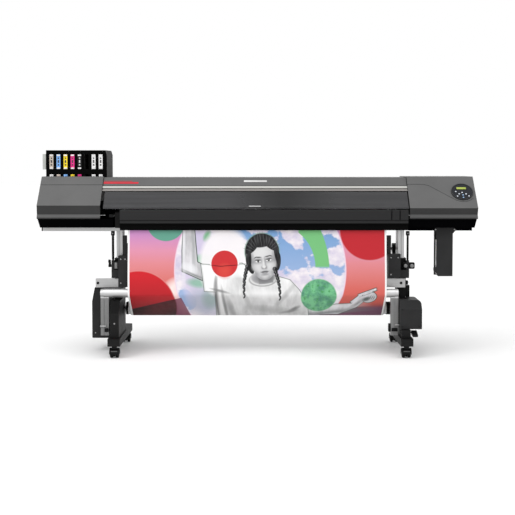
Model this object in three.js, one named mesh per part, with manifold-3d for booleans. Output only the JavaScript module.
// A wide-format roll-to-roll printer cutter on a castered stand.
// Millimetres, +Z up, front towards -Y, origin on the floor under the middle of the machine.
import * as THREE from 'three';
import { mergeVertices } from 'three/addons/utils/BufferGeometryUtils.js';
import Module from 'manifold-3d';

const wasm = await Module();
wasm.setup();

// ---- driving dimensions ----
const GAP = 0.5;                  // running gap between neighbouring pieces
const BODY_HALF = 1384;           // half the overall width
const FRONT_Y = -200;             // front edge of the side covers
const REAR_Y = 340;               // rear of the side covers
const TOP_Z = 1122;               // top of the side covers
const SLOPE = 180;                // depth and rise of the sloped front
const LEFT_INNER_X = -986;        // inner edge of the left side cover
const RIGHT_INNER_X = 957;        // inner edge of the right side cover
const COVER_FOOT_Z = 858;         // lower edge of the side covers
const TRAY_FOOT_Z = 803;          // underside of the base
const MEDIA_HALF = 812.5;         // half of the widest medium, 1625
const BED_Z = 914;                // top of the platen
const RIGHT_CHIN = 16;            // how much further down the right cover's slope runs
const STAND_X = 20;               // the stand sits slightly right of the middle
const LEG_X = 906.5;              // middle of each leg from the stand's middle
const LEG_WIDE = 55;
const FOOT_WIDE = 76;
const FOOT_FRONT_Y = -355;
const FOOT_REAR_Y = 345;
const FOOT_Z = [75, 124];
const WHEEL_R = 27.5;
const CASTER_Y = [-318, 309.5];   // swivel axes of the front and rear casters
const CASTER_TRAIL = 12;
const TUBE = { y: -195, z: 390, r: 28 };      // tension tube
const ARM_PIVOT = { y: -170, z: 186, r: 8 };  // pivot pins of its arms
const TAKE_UP = { y: 10, z: 270, r: 47 };     // rewound roll
const SUPPLY = { y: 235, z: 640, r: 64 };     // supply roll
const GRIT = { y: 40, z: BED_Z - 12.4, r: 12.5 };
const CARTRIDGE_PITCH = 45.3;
const CARTRIDGE_FIRST_X = -1326;
const PANEL = { x: 1298.6, y: -118, r: 68 };  // operation panel on the sloped face

// ---- materials ----
const paint = (color, roughness = 0.6, metalness = 0) =>
  new THREE.MeshStandardMaterial({ color, roughness, metalness });
const COVER_GREY = 0x5c5b5c;
const DARK_GREY = 0x2c2c2d;
const BLACK = 0x121213;
const SILVER = 0xb9b9b8;

// ---- solid helpers ----
const root = new THREE.Group();

function toSolid(geometry) {
  const bare = geometry.clone();
  bare.deleteAttribute('normal');
  bare.deleteAttribute('uv');
  const merged = mergeVertices(bare, 1e-3);
  const mesh = new wasm.Mesh({
    numProp: 3,
    vertProperties: new Float32Array(merged.attributes.position.array),
    triVerts: new Uint32Array(merged.index.array),
  });
  return new wasm.Manifold(mesh);
}

function toGeometry(solid) {
  const mesh = solid.getMesh();
  const geometry = new THREE.BufferGeometry();
  geometry.setAttribute('position', new THREE.BufferAttribute(new Float32Array(mesh.vertProperties), 3));
  geometry.setIndex(new THREE.BufferAttribute(new Uint32Array(mesh.triVerts), 1));
  return geometry;
}

const join = (...shapes) =>
  toGeometry(shapes.map(toSolid).reduce((whole, piece) => whole.add(piece)));
const cut = (shape, ...tools) =>
  toGeometry(tools.map(toSolid).reduce((whole, tool) => whole.subtract(tool), toSolid(shape)));

function box([x0, x1], [y0, y1], [z0, z1]) {
  const geometry = new THREE.BoxGeometry(x1 - x0, y1 - y0, z1 - z0);
  return geometry.translate((x0 + x1) / 2, (y0 + y1) / 2, (z0 + z1) / 2);
}

function extrude(outline, depth, curveSegments = 4) {
  const shape = outline instanceof THREE.Shape ? outline
    : new THREE.Shape(outline.map(([u, v]) => new THREE.Vector2(u, v)));
  return new THREE.ExtrudeGeometry(shape, { depth, bevelEnabled: false, curveSegments });
}

// An outline in Y and Z, pushed along X.
function alongX(outline, [x0, x1], curveSegments = 4) {
  const turn = new THREE.Matrix4().makeBasis(
    new THREE.Vector3(0, 1, 0), new THREE.Vector3(0, 0, 1), new THREE.Vector3(1, 0, 0));
  return extrude(outline, x1 - x0, curveSegments).applyMatrix4(turn).translate(x0, 0, 0);
}

// An outline in X and Z, pushed along Y.
function alongY(outline, [y0, y1], curveSegments = 4) {
  const turn = new THREE.Matrix4().makeBasis(
    new THREE.Vector3(1, 0, 0), new THREE.Vector3(0, 0, 1), new THREE.Vector3(0, -1, 0));
  return extrude(outline, y1 - y0, curveSegments).applyMatrix4(turn).translate(0, y1, 0);
}

function rodX(radius, [x0, x1], y, z, sides = 20) {
  const geometry = new THREE.CylinderGeometry(radius, radius, x1 - x0, sides).rotateZ(Math.PI / 2);
  return geometry.translate((x0 + x1) / 2, y, z);
}

function rodZ(radius, x, y, [z0, z1], sides = 16) {
  const geometry = new THREE.CylinderGeometry(radius, radius, z1 - z0, sides).rotateX(Math.PI / 2);
  return geometry.translate(x, y, (z0 + z1) / 2);
}

// A profile of [radius, x] pairs turned about an axis along X.
function turnedX(profile, y, z, sides = 24) {
  const points = profile.map(([radius, x]) => new THREE.Vector2(radius, x));
  return new THREE.LatheGeometry(points, sides).rotateZ(-Math.PI / 2).translate(0, y, z);
}

function roundedRect(u0, u1, v0, v1, radius) {
  const shape = new THREE.Shape();
  shape.absarc(u1 - radius, v0 + radius, radius, -Math.PI / 2, 0);
  shape.absarc(u1 - radius, v1 - radius, radius, 0, Math.PI / 2);
  shape.absarc(u0 + radius, v1 - radius, radius, Math.PI / 2, Math.PI);
  shape.absarc(u0 + radius, v0 + radius, radius, Math.PI, 1.5 * Math.PI);
  return shape;
}

function add(name, geometry, material, parent = root) {
  const mesh = new THREE.Mesh(geometry, material);
  mesh.name = name;
  parent.add(mesh);
  return mesh;
}

const slopeZ = (y) => TOP_Z - SLOPE + (y - FRONT_Y);

// ---- side covers: bent shells open below and towards the middle ----
function coverOutline(inset, chin = 0) {
  const t = inset;
  const lip = FRONT_Y - chin / 2;
  return [
    [lip + 1 + t, COVER_FOOT_Z - (t ? 10 : 0)],
    [lip - 3 + t, COVER_FOOT_Z + 8],
    [lip + 8 + t, COVER_FOOT_Z + 28],
    [FRONT_Y - chin + t, TOP_Z - SLOPE - chin - t * 0.4],
    [FRONT_Y + 128 + t * 0.7, slopeZ(FRONT_Y + 128) - t * 0.7],
    [FRONT_Y + SLOPE + t * 0.4, TOP_Z - t],
    [REAR_Y - 30 - t * 0.4, TOP_Z - t],
    [REAR_Y - t, TOP_Z - 40 - t * 0.4],
    [REAR_Y - t, COVER_FOOT_Z - (t ? 10 : 0)],
  ];
}

function leftSideCover() {
  const skin = alongX(coverOutline(0), [-BODY_HALF, LEFT_INNER_X]);
  const hollow = alongX(coverOutline(5), [-BODY_HALF + 5, LEFT_INNER_X + 5]);
  const towerWell = box([-1372, LEFT_INNER_X + 5], [0, REAR_Y - 8], [TOP_Z - 20, TOP_Z + 5]);
  return cut(skin, hollow, towerWell);
}

// The groove that sweeps down the right cover and cups the operation panel.
function coverGroove() {
  const across = (x, up) => [x - PANEL.x, up];
  const cupRadius = PANEL.r + 16;
  const line = [across(RIGHT_INNER_X - 2, 68), across(1058, 68), across(1090, 58)];
  for (let k = 0; k <= 10; k += 1) {
    const angle = (228 + (k / 10) * 92) * (Math.PI / 180);
    line.push([Math.cos(angle) * cupRadius, Math.sin(angle) * cupRadius]);
  }
  const half = 3;
  const side = (sign) => line.map(([u, v], k) => {
    const [a, b] = [line[Math.max(k - 1, 0)], line[Math.min(k + 1, line.length - 1)]];
    const length = Math.hypot(b[0] - a[0], b[1] - a[1]);
    return [u - (sign * half * (b[1] - a[1])) / length, v + (sign * half * (b[0] - a[0])) / length];
  });
  return onSlope(extrude([...side(-1), ...side(1).reverse()], 6), -2);
}

// Places a piece drawn flat (u across, v up the slope, depth outwards) on the sloped face.
function onSlope(geometry, lift, u = 0, v = 0) {
  return geometry.translate(u, v, lift).rotateX(Math.PI / 4).translate(PANEL.x, PANEL.y, slopeZ(PANEL.y));
}

function rightSideCover() {
  const skin = alongX(coverOutline(0, RIGHT_CHIN), [RIGHT_INNER_X, BODY_HALF]);
  const hollow = alongX(coverOutline(5, RIGHT_CHIN), [RIGHT_INNER_X - 5, BODY_HALF - 5]);
  return cut(skin, hollow, coverGroove());
}

// ---- middle covers ----
function topCover() {
  const outer = [[-64, 1064], [-12, 1117], [236, 1117], [292, 1062], [292, 944]];
  const inner = [[288, 944], [288, 1060], [234, 1113], [-10, 1113], [-61, 1061]];
  const shell = alongX([...outer, ...inner], [LEFT_INNER_X + GAP, RIGHT_INNER_X - GAP]);
  return cut(shell, box([LEFT_INNER_X - 5, -966], [6, 310], [1050, 1130]));
}

function trimRail() {
  const outline = [[-66, 1062], [-72, 1061.5], [-84, 1049], [-80, 1046], [-88, 1038], [-93, 1041],
    [-101, 1032], [-97, 1028], [-60, 1052]];
  return alongX(outline, [LEFT_INNER_X + GAP, RIGHT_INNER_X - GAP]);
}

function frontCover() {
  const outline = [[-101, 1024], [-106, 1026], [-205, 930], [-207, 922], [-203, 921], [-198, 929]];
  const plate = alongX(outline, [-966, 951]);
  const grip = alongX([[-206, 926], [-216, 922], [-214, 919], [-204, 921]], [-80, 80]);
  return join(plate, grip);
}

function frontPanel() {
  const outline = [[-200, 916], [-211, 916], [-213, 912], [-213, 852], [-206, 848], [-206, 827],
    [-209, 825], [-209, 821], [-206, 819], [-206, 787], [-201, 787], [-201, 846], [-207, 851], [-207, 911]];
  const seams = [842, 894].map((x) => box([x, x + 5], [-214, -210.5], [853, 918]));
  return cut(alongX(outline, [-861, 948]), ...seams);
}

function platen() {
  const shape = new THREE.Shape();
  shape.moveTo(-182, 800);
  shape.absarc(-152, BED_Z - 30, 30, Math.PI, Math.PI / 2, true);
  shape.absarc(218, BED_Z - 30, 30, Math.PI / 2, 0, true);
  shape.lineTo(248, 860);
  shape.lineTo(243, 860);
  shape.absarc(218, BED_Z - 30, 25, 0, Math.PI / 2, false);
  shape.absarc(-152, BED_Z - 30, 25, Math.PI / 2, Math.PI, false);
  shape.lineTo(-177, 800);
  const slot = box([-862, 862], [GRIT.y - 15, GRIT.y + 15], [BED_Z - 8, BED_Z + 5]);
  const ribs = [-860, 0, 860].map((x) => box([x - 4, x + 4], [-150, 216], [868, BED_Z - 3]));
  const relief = rodX(GRIT.r + 3, [-862, 862], GRIT.y, GRIT.z);
  return cut(join(alongX(shape, [-895, 895]), ...ribs), slot, relief);
}

// ---- base ----
function trayBox([x0, x1], slantLeft, slantRight) {
  const ends = [[x0 + slantLeft, TRAY_FOOT_Z], [x1 - slantRight, TRAY_FOOT_Z], [x1, COVER_FOOT_Z - 1],
    [x0, COVER_FOOT_Z - 1]];
  const hollow = box([x0 + 12 + slantLeft, x1 - 12 - slantRight], [-186, REAR_Y - 12], [TRAY_FOOT_Z + 4, 900]);
  const switchWindow = box([1177, 1199], [REAR_Y - 20, REAR_Y], [819, 849]);
  return cut(alongY(ends, [-194, REAR_Y - 4]), hollow, switchWindow);
}

function baseFrame() {
  const frontBeam = box([-862, 960], [-172, -104], [786, 850]);
  const rearBeam = box([-1000, 970], [110, 182], [786, 850]);
  const ties = [-890, 930].map((x) => box([x - 45, x + 45], [-108, 112], [784, 830]));
  const uprights = [[-902, 845], [902, 845], [-1290, 804], [1290, 804]].map(([x, low]) =>
    box([x - 5, x + 5], [148.5, 180], [low, 1034]));
  const rightRail = box([962, 1362], [-130, -112], [781, 806]);
  return join(trayBox([-1380, -905], 16, 0), trayBox([948, 1380], 0, 14),
    frontBeam, rearBeam, ...ties, ...uprights, rightRail);
}

// ---- print mechanism ----
function carriage([x0, x1], nose) {
  const head = box([x0, x1], [-nose, 12], [924, 1000]);
  const saddle = box([x0 + 8, x1 - 8], [-36, 86], [984, 1034]);
  const hook = box([x0 + 20, x1 - 20], [60, 150], [1036.5, 1046]);
  const web = box([x0 + 20, x1 - 20], [60, 86], [1030, 1046]);
  return join(head, saddle, hook, web);
}

function pinchRollerUnit() {
  const bar = box([-840, 840], [66, 84], [934, 950]);
  const pieces = [bar];
  for (let x = -780; x <= 780; x += 195) {
    pieces.push(box([x - 12, x + 12], [GRIT.y - 4, 70], [930, 944]));
    pieces.push(rodX(8, [x - 22, x + 22], GRIT.y, 925.3, 16));
  }
  return join(...pieces);
}

function loadingLever() {
  const arm = alongX([[-182, 872], [-182, 882], [-92, 892], [-78, 886], [-78, 876], [-92, 870]], [-912, -904]);
  const handle = box([-930, -904], [-192, -172], [868, 886]);
  return join(arm, handle);
}

// ---- ink supply ----
const cartridgeX = (k) => CARTRIDGE_FIRST_X + CARTRIDGE_PITCH * k;

function inkTower() {
  const outline = [[-1361, 1052], [-969, 1052], [-969, 1262], [-978, 1291], [-1361, 1291]];
  const pieces = [];
  for (let k = 0; k < 8; k += 1) {
    const x = cartridgeX(k);
    pieces.push(box([x - 13.3, x + 13.3], [0, 296], [1168.8, 1266]));
    pieces.push(box([x - 13.3, x + 13.3], [0, 296], [1060, 1137]));
  }
  return cut(alongY(outline, [10, 306]), ...pieces);
}

function cartridge(x) {
  const shell = box([x - 12.3, x + 12.3], [8, 290], [1170, 1264]);
  const scoop = alongY(roundedRect(x - 8, x + 8, 1182, 1252, 5), [4, 11], 3);
  return cut(shell, scoop);
}

// ---- waste ink ----
function bottleHolder() {
  const front = [[1136, 800], [1124, 797], [1124, 780], [1136, 762], [1136, 549], [1118, 547],
    [1118, 528], [1138, 510], [1148, 491], [1240, 491], [1240, 762], [1256, 780], [1256, 797], [1240, 800]];
  const plate = alongY(front, [-136, -131]);
  const wall = box([1234, 1240], [-133, -32], [491, 778]);
  const back = box([1136, 1240], [-38, -32], [491, 778]);
  const floor = box([1150, 1240], [-133, -32], [491, 496]);
  return join(plate, wall, back, floor);
}

function drainBottle() {
  const tank = alongX(roundedRect(-126, -44, 500, 720, 12), [1143, 1228], 3);
  return join(tank, rodZ(18, 1180, -85, [715, 752]));
}

// ---- stand ----
const legMiddle = (side) => STAND_X + side * LEG_X;

function column(side) {
  const x = legMiddle(side) - side * 5;
  const bar = box([x - 19.5, x + 19.5], [-58, 58], [600.5, 783]);
  const grooves = [-1, 1].map((end) => box([x - 4, x + 4], [end * 58 - 6, end * 58 + 6], [590, 790]));
  return cut(bar, ...grooves);
}

function foot(x) {
  const outline = [[FOOT_FRONT_Y, FOOT_Z[0] + 6], [FOOT_FRONT_Y + 6, FOOT_Z[0]],
    [FOOT_REAR_Y - 6, FOOT_Z[0]], [FOOT_REAR_Y, FOOT_Z[0] + 6], [FOOT_REAR_Y, FOOT_Z[1] - 8],
    [FOOT_REAR_Y - 8, FOOT_Z[1]], [FOOT_FRONT_Y + 8, FOOT_Z[1]], [FOOT_FRONT_Y, FOOT_Z[1] - 8]];
  return alongX(outline, [x - FOOT_WIDE / 2, x + FOOT_WIDE / 2]);
}

function leg(side, lowFront, stepZ) {
  const x = legMiddle(side);
  const span = [x - LEG_WIDE / 2, x + LEG_WIDE / 2];
  const low = [[-310, 120], [60, 120], [60, 600], [-60, 600], [-60, 345], [lowFront + 70, 345],
    [lowFront, 275], [lowFront, stepZ], [-310, stepZ]];
  const outline = lowFront > -310 ? low : low.slice(0, 7);
  const bracket = [[55, 560], [200, 560], [262, 622], [262, 664], [240, 676], [208, 664], [190, 606], [55, 600]];
  const body = join(foot(x), alongX(outline, span), alongX(bracket, span));
  const faceX = x - side * (LEG_WIDE / 2);
  const bore = (radius, { y, z }) => rodX(radius, [faceX - 15, faceX + 15], y, z);
  return cut(body, bore(12, TAKE_UP), bore(12, SUPPLY), ...stemBores(x));
}

const stemBores = (x) => CASTER_Y.map((y) => rodZ(9, x, y, [FOOT_Z[0] - 5, FOOT_Z[0] + 30]));

function casterFork() {
  const arch = new THREE.Shape();
  arch.absarc(CASTER_TRAIL, WHEEL_R, WHEEL_R + 6, -0.25, Math.PI + 0.1, false);
  arch.absarc(CASTER_TRAIL, WHEEL_R, WHEEL_R + 2, Math.PI + 0.1, -0.25, true);
  const hood = alongX(arch, [-30, 30], 14);
  const web = alongX(roundedRect(CASTER_TRAIL - 22, CASTER_TRAIL + 22, 8, WHEEL_R + 32, 12), [-6, 6], 3);
  const bore = rodX(5, [-20, 20], CASTER_TRAIL, WHEEL_R);
  const neck = join(rodZ(17, 0, 0, [WHEEL_R + 30, FOOT_Z[0] - 1.5], 20), rodZ(7.5, 0, 0, [WHEEL_R + 30, FOOT_Z[0] + 25]));
  return cut(join(hood, web, neck), bore);
}

function casterWheels() {
  const r = WHEEL_R;
  const profile = [[0, -29], [12, -29], [14, -27], [r - 4, -27], [r, -24], [r, -12], [r - 3, -9], [4.6, -9],
    [4.6, 9], [r - 3, 9], [r, 12], [r, 24], [r - 4, 27], [14, 27], [12, 29], [0, 29]];
  return turnedX(profile, CASTER_TRAIL, WHEEL_R, 28);
}

function crossBar() {
  const tube = box([-1030, 944], [-110, -62], [417, 473]);
  const hollow = box([-1040, 950], [-106, -66], [421, 469]);
  const cap = box([-1022, 936], [-110, -62], [417, 473]);
  const holes = [-1015, 917].map((x) => rodY(7, x, [-120, -60], 445));
  return cut(join(cut(tube, hollow), cap), ...holes);
}

function rodY(radius, x, [y0, y1], z, sides = 16) {
  return new THREE.CylinderGeometry(radius, radius, y1 - y0, sides).translate(x, (y0 + y1) / 2, z);
}

// A box beside the medium with its upright plate, cross block and thin guide rod.
function armBox(side, innerX, outerX, low, high) {
  const span = (a, b) => [Math.min(a, b), Math.max(a, b)];
  const rodAtX = legMiddle(side) + side * 32;
  const main = box(span(innerX, outerX), [-170, -114], [low, high]);
  const shelf = box(span(innerX, outerX), [-116, -62], [477, high - 6]);
  const plateX = innerX + (side > 0 ? -9 : -33);
  const plate = box([plateX, plateX + 28], [-150, -144], [high - 5, 752]);
  const block = box(span(outerX - side * 2, rodAtX + side * 8), [-122, -78], [478, 530]);
  const clamp = box([rodAtX - 9, rodAtX + 9], [-112, -88], [528, 590]);
  const rod = rodZ(5.5, rodAtX, -100, [585, 776]);
  const knob = rodZ(5, (innerX + outerX) / 2, -140, [high - 2, high + 8], 12);
  return join(main, shelf, plate, block, clamp, rod, knob);
}

// ---- take-up ----
function dancerFrame() {
  const tube = rodX(TUBE.r, [-966, 866], TUBE.y, TUBE.z, 28);
  const arm = ([x0, x1]) => join(
    box([x0, x1], [TUBE.y - 14, TUBE.y + 36], [124, TUBE.z + 8]),
    rodX(26, [x0, x1], TUBE.y + 2, TUBE.z, 28));
  const grooves = [-962, 865].map((x) => box([x - 3, x + 3], [TUBE.y - 20, TUBE.y - 9], [100, 350]));
  const bores = [-959, 866].map((x) => rodX(ARM_PIVOT.r + 1, [x - 40, x + 40], ARM_PIVOT.y, ARM_PIVOT.z));
  return cut(join(tube, arm([-985, -934]), arm([842, 888])), ...grooves, ...bores);
}

const pivotPin = (span) => rodX(ARM_PIVOT.r, span, ARM_PIVOT.y, ARM_PIVOT.z);

function takeUpCore() {
  const left = STAND_X - LEG_X + LEG_WIDE / 2;
  const right = STAND_X + LEG_X - LEG_WIDE / 2;
  return turnedX([[0, right + 10], [9, right + 10], [9, 864], [41, 864], [41, 832], [38, 822], [TAKE_UP.r, 815],
    [TAKE_UP.r, -815], [38, -822], [41, -830], [41, -848], [9, -848], [9, left - 10], [0, left - 10]].reverse(),
  TAKE_UP.y, TAKE_UP.z);
}

function supplyRoll() {
  const left = STAND_X - LEG_X + LEG_WIDE / 2;
  const right = STAND_X + LEG_X - LEG_WIDE / 2;
  return turnedX([[0, right + 10], [9, right + 10], [9, 850], [48, 850], [48, 822], [40, 822], [40, 815],
    [SUPPLY.r, 815], [SUPPLY.r, -815], [40, -815], [40, -822], [48, -822], [48, -840], [9, -840],
    [9, left - 10], [0, left - 10]].reverse(), SUPPLY.y, SUPPLY.z);
}

function leftTakeUpCover() {
  const outline = [[-1062, 84], [-926, 84], [-926, 412], [-1044, 412], [-1062, 320]];
  return alongY(outline, [-58, 96]);
}

function rightMotorCover() {
  const face = [[-272, 172.5], [-152, 172.5], [-152, 350], [-222, 350], [-272, 296]];
  const front = alongX(face, [893, 1029]);
  const beside = box([957, 1029], [-156, -40], [172.5, 350]);
  const cornerCut = cut(box([1006, 1036], [-280, -30], [326, 356]), rodY(24, 1005, [-281, -29], 326, 24));
  return join(cut(join(front, beside), cornerCut), pivotPin([834, 895]));
}

function lockLever() {
  const arm = alongX([[-106, 549], [-94, 549], [-94, 561], [-104, 590], [-122, 596], [-132, 584], [-126, 576],
    [-112, 580]], [-946, -932]);
  return join(arm, rodX(9, [-948, -930], -100, 555));
}

const PEDAL_PIVOT = { y: -229, z: 147 };

function footPedal() {
  const outline = [[-218, 136], [-240, 134], [-300, 127], [-306, 132], [-300, 142], [-240, 160], [-218, 158]];
  const pad = alongX(outline.reverse(), [968, 1000]);
  return cut(pad, rodX(5.4, [960, 1010], PEDAL_PIVOT.y, PEDAL_PIVOT.z));
}

// The sheet: off the supply roll, over the platen, down over the tension tube to the take-up roll.
function mediaOutline() {
  const thick = 1.2;
  const arc = (y, z, radius, from, to) => {
    const points = [];
    const steps = 6;
    for (let k = 0; k <= steps; k += 1) {
      const angle = (from + ((to - from) * k) / steps) * (Math.PI / 180);
      points.push([y + Math.cos(angle) * radius, z + Math.sin(angle) * radius]);
    }
    return points;
  };
  const offBed = 30 + 0.6;
  const line = [
    [SUPPLY.y + SUPPLY.r + 1, SUPPLY.z + 4],
    ...arc(218, BED_Z - 30, offBed, 0, 90),
    ...arc(-152, BED_Z - 30, offBed, 90, 180),
    [-188, 780], [-205, 640], [-222, 510],
    ...arc(TUBE.y, TUBE.z, TUBE.r + 2, 170, 215),
    ...arc(TAKE_UP.y, TAKE_UP.z, TAKE_UP.r + 1, 232, 292),
  ];
  const offset = line.map(([y, z], k) => {
    const [a, b] = [line[Math.max(k - 1, 0)], line[Math.min(k + 1, line.length - 1)]];
    const length = Math.hypot(b[0] - a[0], b[1] - a[1]);
    return [y + (thick * (b[1] - a[1])) / length, z - (thick * (b[0] - a[0])) / length];
  });
  return [...line, ...offset.reverse()];
}

// ---- assembly ----
add('base_frame', baseFrame(), paint(BLACK));
add('left_base_rail', box([-1360, -870], [-130, -114], [778, 802]), paint(SILVER, 0.35, 0.8));
add('left_side_cover', leftSideCover(), paint(COVER_GREY));
add('right_side_cover', rightSideCover(), paint(COVER_GREY));
add('top_cover', topCover(), paint(COVER_GREY));
add('trim_rail', trimRail(), paint(SILVER, 0.3, 0.8));
add('front_cover', frontCover(), paint(0x1b1b1c, 0.15));
add('front_panel', frontPanel(), paint(DARK_GREY));
add('platen', platen(), paint(0x8a8a8a, 0.4, 0.6));
add('guide_rail', box([-1330, 1330], [90, 148], [962, 1035]), paint(SILVER, 0.3, 0.8));
add('print_carriage', carriage([1040, 1330], 92), paint(DARK_GREY));
add('cutter_carriage', carriage([925, 1034], 80), paint(0x3a3a3c));
add('grit_roller', rodX(GRIT.r, [-855, 855], GRIT.y, GRIT.z, 24), paint(0x9a9a9a, 0.5, 0.7));
add('pinch_roller_unit', pinchRollerUnit(), paint(0x4a4d6a));
add('loading_lever', loadingLever(), paint(BLACK));

add('panel_bezel', onSlope(new THREE.CylinderGeometry(PANEL.r, PANEL.r + 2, 5, 40).rotateX(Math.PI / 2), 3),
  paint(0x2a2d33, 0.35));
const KEYS = [[-41, -3], [-2, -11], [-22, -23], [22, -23], [2, -32], [-34, -42], [38, -41], [2, -53]];
KEYS.forEach(([u, v], k) => {
  const key = new THREE.CylinderGeometry(4.6, 5, 3, 14).rotateX(Math.PI / 2);
  add(`button_${k + 1}`, onSlope(key, 8.6, u, v), paint(0xd0d4da));
});
add('power_switch', box([1180, 1196], [330, 339.5], [822, 846]), paint(BLACK));
add('power_inlet', box([1210, 1258], [336.6, 342], [818, 850]), paint(BLACK));

add('ink_tower', inkTower(), paint(BLACK));
const INKS = [['cream', 0xcfc2b4, 0], ['light_blue', 0x86b4e6, 1], ['yellow', 0xe6cf3c, 2],
  ['magenta', 0xd83a86, 3], ['black', 0x202020, 4], ['white_a', 0xe6e6e6, 6], ['white_b', 0xe6e6e6, 7]];
INKS.forEach(([ink, color, slot]) => add(`cartridge_${ink}`, cartridge(cartridgeX(slot)), paint(color)));
add('side_cartridge', box([-1384, -1361.5], [14, 290], [1168, 1267]), paint(0xb4b6b2));
add('drain_bottle_holder', bottleHolder(), paint(DARK_GREY));
add('drain_bottle', drainBottle(), paint(0xdadada, 0.4));

const SIDES = [['left', -1], ['right', 1]];
SIDES.forEach(([name, side]) => add(`${name}_column`, column(side), paint(SILVER, 0.35, 0.8)));
const leftLeg = join(leg(-1, -310, 275), pivotPin([-998, -912]));
add('left_leg', leftLeg, paint(BLACK));
const pedalPin = rodX(4.5, [952, 998], PEDAL_PIVOT.y, PEDAL_PIVOT.z);
add('right_leg', join(leg(1, -150, 172), pedalPin), paint(BLACK));
SIDES.forEach(([name, side]) => {
  ['front', 'rear'].forEach((end, k) => {
    const caster = new THREE.Group();
    caster.position.set(legMiddle(side), CASTER_Y[k], 0);
    add(`${end}_${name}_caster_fork`, casterFork(), paint(BLACK), caster);
    add(`${end}_${name}_caster_wheels`, casterWheels(), paint(0x1c1c1d), caster);
    root.add(caster);
  });
});
add('cross_bar', crossBar(), paint(SILVER, 0.35, 0.8));
add('left_arm_box', armBox(-1, -818, -878, 425, 624), paint(DARK_GREY));
add('right_arm_box', armBox(1, 828, 906, 482, 634), paint(DARK_GREY));

add('dancer_frame', dancerFrame(), paint(SILVER, 0.3, 0.8));
add('take_up_core', takeUpCore(), paint(0xe8e8e6));
add('left_take_up_cover', leftTakeUpCover(), paint(DARK_GREY));
add('right_motor_cover', rightMotorCover(), paint(DARK_GREY));
add('printed_media', alongX(mediaOutline(), [-MEDIA_HALF, MEDIA_HALF]), paint(0xf0f0f0, 0.4));
add('supply_roll', supplyRoll(), paint(0xf0f0f0));
add('lock_lever', lockLever(), paint(BLACK));
add('foot_pedal', footPedal(), paint(BLACK));

export default root;
